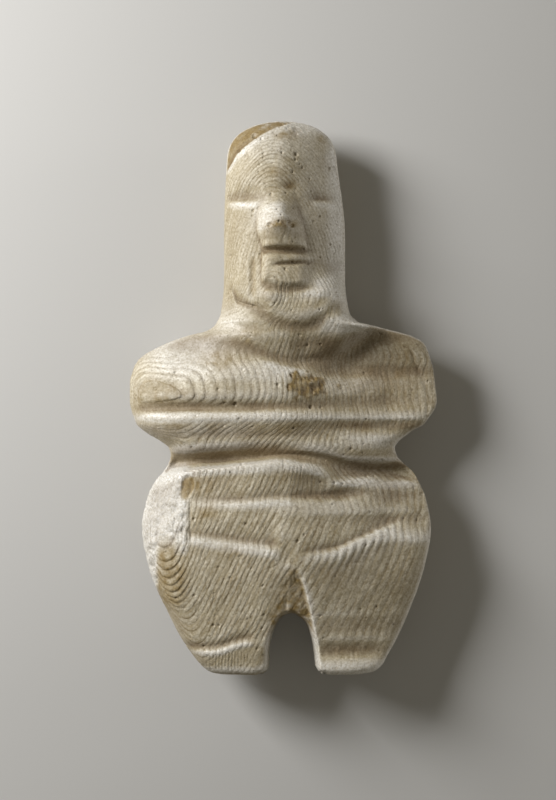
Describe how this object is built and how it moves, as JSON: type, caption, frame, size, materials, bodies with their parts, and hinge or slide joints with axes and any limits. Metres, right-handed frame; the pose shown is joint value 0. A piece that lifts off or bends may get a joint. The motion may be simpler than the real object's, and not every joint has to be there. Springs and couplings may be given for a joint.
{
  "type": "carved figurine",
  "caption": "Small stone-age idol carved from layered shell: tall head with nose and lips, arm stumps, wide hips and short legs, lying on its back.",
  "frame": {"origin": "under the middle of the figure, on the surface that it lies on", "axes": "+Y from the soles to the crown, +Z out of the chest, +X to the side seen on the right from in front"},
  "size_m": [0.0446, 0.08, 0.0148],
  "materials": {
    "carved_shell": "worn, dry and matt, with fine growth layers"
  },
  "bodies": {
    "root": {"figurine": "carved_shell"}
  },
  "joints": []
}
